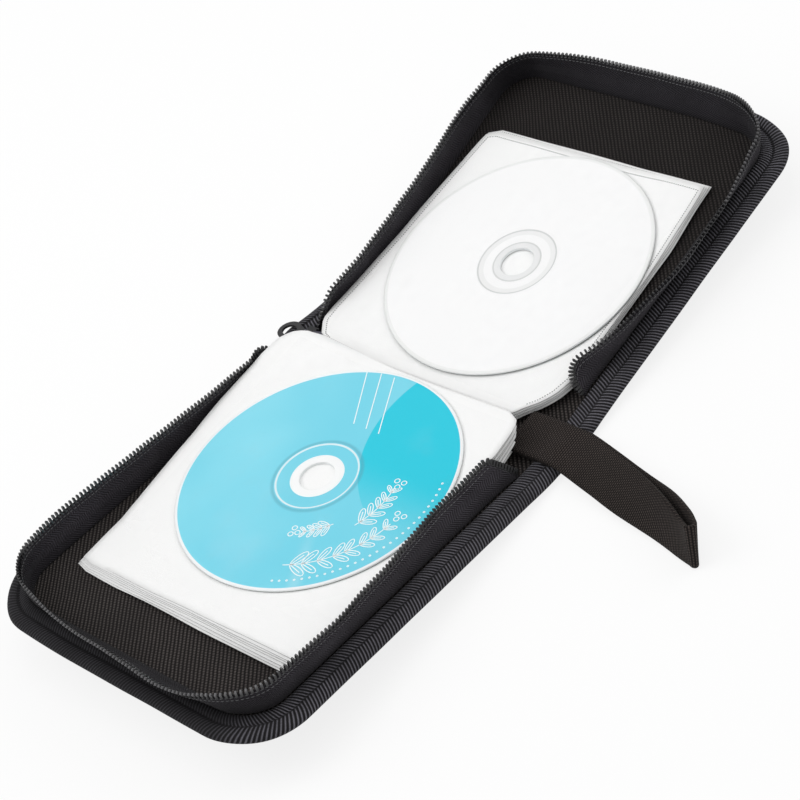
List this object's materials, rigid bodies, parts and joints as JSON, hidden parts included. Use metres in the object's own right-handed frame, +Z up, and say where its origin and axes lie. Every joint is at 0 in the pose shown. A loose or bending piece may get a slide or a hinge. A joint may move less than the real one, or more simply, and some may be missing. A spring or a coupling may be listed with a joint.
{
  "type": "cd storage case",
  "caption": "Zip-round disc wallet with a wrist strap, lying open as a shallow V, a disc in the top sleeve of each half.",
  "frame": {"origin": "middle of the spine on the table, half way along the spine's length", "axes": "+X across the spine towards the half with the white disc, +Y along the spine towards the zip slider, +Z up"},
  "size_m": [0.358, 0.2465, 0.0375],
  "materials": {
    "outer_fabric": "dark twill",
    "board": "plain board",
    "lining": "near-black twill",
    "binding": "ribbed tape",
    "zip_tape": "herringbone tape",
    "zip_teeth": "moulded coil",
    "sleeve": "white nonwoven",
    "film": "clear film",
    "blue_disc": "printed",
    "white_disc": "printed",
    "webbing": "ribbed webbing",
    "slider": "satin",
    "pull": "moulded"
  },
  "bodies": {
    "spine": {"sleeve_root": "sleeve", "spine_binding_slider_side": "binding", "spine_binding_strap_side": "binding", "spine_board": "board", "spine_lining": "lining", "spine_outer_fabric": "outer_fabric", "strap_handle": "webbing", "zip_slider": "slider", "zip_tail": "zip_tape"},
    "front_cover": {"front_outer_fabric": "outer_fabric", "front_board": "board", "front_lining": "lining", "front_binding": "binding", "front_zip_tape": "zip_tape", "front_zip_teeth": "zip_teeth"},
    "front_pages": {"front_sleeves": "sleeve", "front_top_sleeve": "sleeve", "front_disc": "blue_disc", "front_window": "film"},
    "back_cover": {"back_outer_fabric": "outer_fabric", "back_board": "board", "back_lining": "lining", "back_binding": "binding", "back_zip_tape": "zip_tape", "back_zip_teeth": "zip_teeth"},
    "back_pages": {"back_sleeves": "sleeve", "back_top_sleeve": "sleeve", "back_disc": "white_disc", "back_window": "film"},
    "zip_pull": {"zip_pull": "pull"}
  },
  "joints": [
    {"name": "front_cover_hinge", "type": "hinge", "parent": "spine", "child": "front_cover", "pos_m": [-0.0152, 0, 0.0032], "axis": [0, 1, 0], "range_deg": [0, 82.75]},
    {"name": "front_pages_turn", "type": "hinge", "parent": "spine", "child": "front_pages", "pos_m": [-0.00602, 0, 0.01028], "axis": [0, 1, 0], "range_deg": [0, 83.25]},
    {"name": "back_cover_hinge", "type": "hinge", "parent": "spine", "child": "back_cover", "pos_m": [0.0152, 0, 0.0032], "axis": [0, -1, 0], "range_deg": [0, 82.75]},
    {"name": "back_pages_turn", "type": "hinge", "parent": "spine", "child": "back_pages", "pos_m": [0.00874, 0, 0.00788], "axis": [0, -1, 0], "range_deg": [0, 83.25]},
    {"name": "zip_pull_hinge", "type": "hinge", "parent": "spine", "child": "zip_pull", "pos_m": [0.0046, 0.0654, 0.00805], "axis": [1, 0, 0], "range_deg": [0, 45]}
  ],
  "couplings": [
    {"joint": "front_pages_turn", "follows": "front_cover_hinge", "ratio": 1},
    {"joint": "back_pages_turn", "follows": "back_cover_hinge", "ratio": 1}
  ]
}
